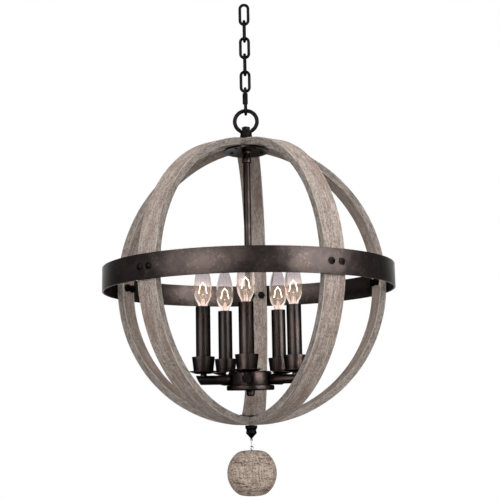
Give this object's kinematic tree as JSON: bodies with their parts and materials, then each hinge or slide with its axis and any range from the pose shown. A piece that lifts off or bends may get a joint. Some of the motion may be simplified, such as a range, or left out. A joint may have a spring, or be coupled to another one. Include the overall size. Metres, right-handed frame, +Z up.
{
  "type": "orb pendant light",
  "caption": "Orb pendant light: wooden ribs in an iron band round a cluster of candle lamps, hung from a short chain, with a wooden ball below.",
  "frame": {"origin": "inside of the top bend of the topmost chain link, where a ceiling hook carries the light", "axes": "+Z up along the hanging chain and the stem, +Y towards one rib and away from the front candle, +X to the right seen from the front"},
  "size_m": [0.51, 0.5142, 0.8826],
  "materials": {
    "dark_iron": "dark blackened iron, satin, slightly uneven",
    "steel_pipe": "zinc-plated threaded pipe",
    "weathered_wood": "weathered grey-beige board, brushed grain, matte",
    "washed_wood": "whitewashed turned wood, rough, matte",
    "aged_band": "aged bronze-brown iron with a soft mottled sheen",
    "bronze_paint": "dark brown-black powder coat, semi-gloss",
    "bright_screw": "bright nickel screw head",
    "dark_sleeve": "dark brown-black candle cover, matte",
    "socket_plastic": "black moulded lamp holder",
    "bulb_cap": "plated screw cap",
    "bulb_glass": "clear glass"
  },
  "bodies": {
    "link_1": {"chain_link_1": "dark_iron"},
    "link_2": {"chain_link_2": "dark_iron"},
    "link_3": {"chain_link_3": "dark_iron"},
    "link_4": {"chain_link_4": "dark_iron"},
    "link_5": {"chain_link_5": "dark_iron"},
    "quick_link": {"quick_link": "dark_iron"},
    "quick_nut": {"quick_link_nut": "dark_iron"},
    "fixture": {"hang_loop": "dark_iron", "loop_nut": "dark_iron", "lamp_pipe": "steel_pipe", "rib_1": "weathered_wood", "rib_2": "weathered_wood", "rib_3": "weathered_wood", "rib_4": "weathered_wood", "rib_5": "weathered_wood", "equator_band": "aged_band", "band_bolts": "aged_band", "band_nuts": "bronze_paint", "top_disc": "bronze_paint", "bottom_disc": "bronze_paint", "disc_screws": "bronze_paint", "disc_nut": "bronze_paint", "stem_coupling": "bronze_paint", "stem_tube": "bronze_paint", "hub_cover": "bronze_paint", "hub_body": "bronze_paint", "hub_base": "bronze_paint", "hub_nut": "bronze_paint", "arm_1": "bronze_paint", "arm_2": "bronze_paint", "arm_3": "bronze_paint", "arm_4": "bronze_paint", "arm_5": "bronze_paint", "arm_screws": "bright_screw", "drip_pans": "bronze_paint", "candle_cup_1": "bronze_paint", "candle_cup_2": "bronze_paint", "candle_cup_3": "bronze_paint", "candle_cup_4": "bronze_paint", "candle_cup_5": "bronze_paint", "candle_sleeve_1": "dark_sleeve", "candle_sleeve_2": "dark_sleeve", "candle_sleeve_3": "dark_sleeve", "candle_sleeve_4": "dark_sleeve", "candle_sleeve_5": "dark_sleeve", "sockets": "socket_plastic", "bottom_finial": "dark_iron"},
    "bulb_1": {"bulb_base_1": "bulb_cap", "bulb_glass_1": "bulb_glass"},
    "bulb_2": {"bulb_base_2": "bulb_cap", "bulb_glass_2": "bulb_glass"},
    "bulb_3": {"bulb_base_3": "bulb_cap", "bulb_glass_3": "bulb_glass"},
    "bulb_4": {"bulb_base_4": "bulb_cap", "bulb_glass_4": "bulb_glass"},
    "bulb_5": {"bulb_base_5": "bulb_cap", "bulb_glass_5": "bulb_glass"},
    "ball_hook": {"ball_link": "dark_iron"},
    "ball": {"ball_eye": "dark_iron", "wood_ball": "washed_wood"}
  },
  "joints": [
    {"name": "link_2_swing", "type": "hinge", "parent": "link_1", "child": "link_2", "pos_m": [0, 0, -0.03495], "axis": [1, 0, 0], "range_deg": [-30, 30]},
    {"name": "link_3_swing", "type": "hinge", "parent": "link_2", "child": "link_3", "pos_m": [0, 0, -0.06695], "axis": [0, 1, 0], "range_deg": [-30, 30]},
    {"name": "link_4_swing", "type": "hinge", "parent": "link_3", "child": "link_4", "pos_m": [0, 0, -0.09895], "axis": [1, 0, 0], "range_deg": [-30, 30]},
    {"name": "link_5_swing", "type": "hinge", "parent": "link_4", "child": "link_5", "pos_m": [0, 0, -0.13095], "axis": [0, 1, 0], "range_deg": [-30, 30]},
    {"name": "quick_link_swing", "type": "hinge", "parent": "link_5", "child": "quick_link", "pos_m": [0, 0, -0.16295], "axis": [1, 0, 0], "range_deg": [-30, 30]},
    {"name": "quick_nut_screw", "type": "slide", "parent": "quick_link", "child": "quick_nut", "axis": [0, 0, 1], "range_m": [-0.0083, 0]},
    {"name": "fixture_swing", "type": "hinge", "parent": "quick_link", "child": "fixture", "pos_m": [0, 0, -0.2055], "axis": [0, 1, 0], "range_deg": [-30, 30]},
    {"name": "bulb_1_out", "type": "slide", "parent": "fixture", "child": "bulb_1", "axis": [0, 0, 1], "range_m": [0, 0.025]},
    {"name": "bulb_2_out", "type": "slide", "parent": "fixture", "child": "bulb_2", "axis": [0, 0, 1], "range_m": [0, 0.025]},
    {"name": "bulb_3_out", "type": "slide", "parent": "fixture", "child": "bulb_3", "axis": [0, 0, 1], "range_m": [0, 0.025]},
    {"name": "bulb_4_out", "type": "slide", "parent": "fixture", "child": "bulb_4", "axis": [0, 0, 1], "range_m": [0, 0.025]},
    {"name": "bulb_5_out", "type": "slide", "parent": "fixture", "child": "bulb_5", "axis": [0, 0, 1], "range_m": [0, 0.025]},
    {"name": "ball_hook_swing", "type": "hinge", "parent": "fixture", "child": "ball_hook", "pos_m": [0, 0, -0.7837], "axis": [0, 1, 0], "range_deg": [-30, 30]},
    {"name": "ball_swing", "type": "hinge", "parent": "ball_hook", "child": "ball", "pos_m": [0, 0, -0.7941], "axis": [1, 0, 0], "range_deg": [-30, 30]}
  ]
}
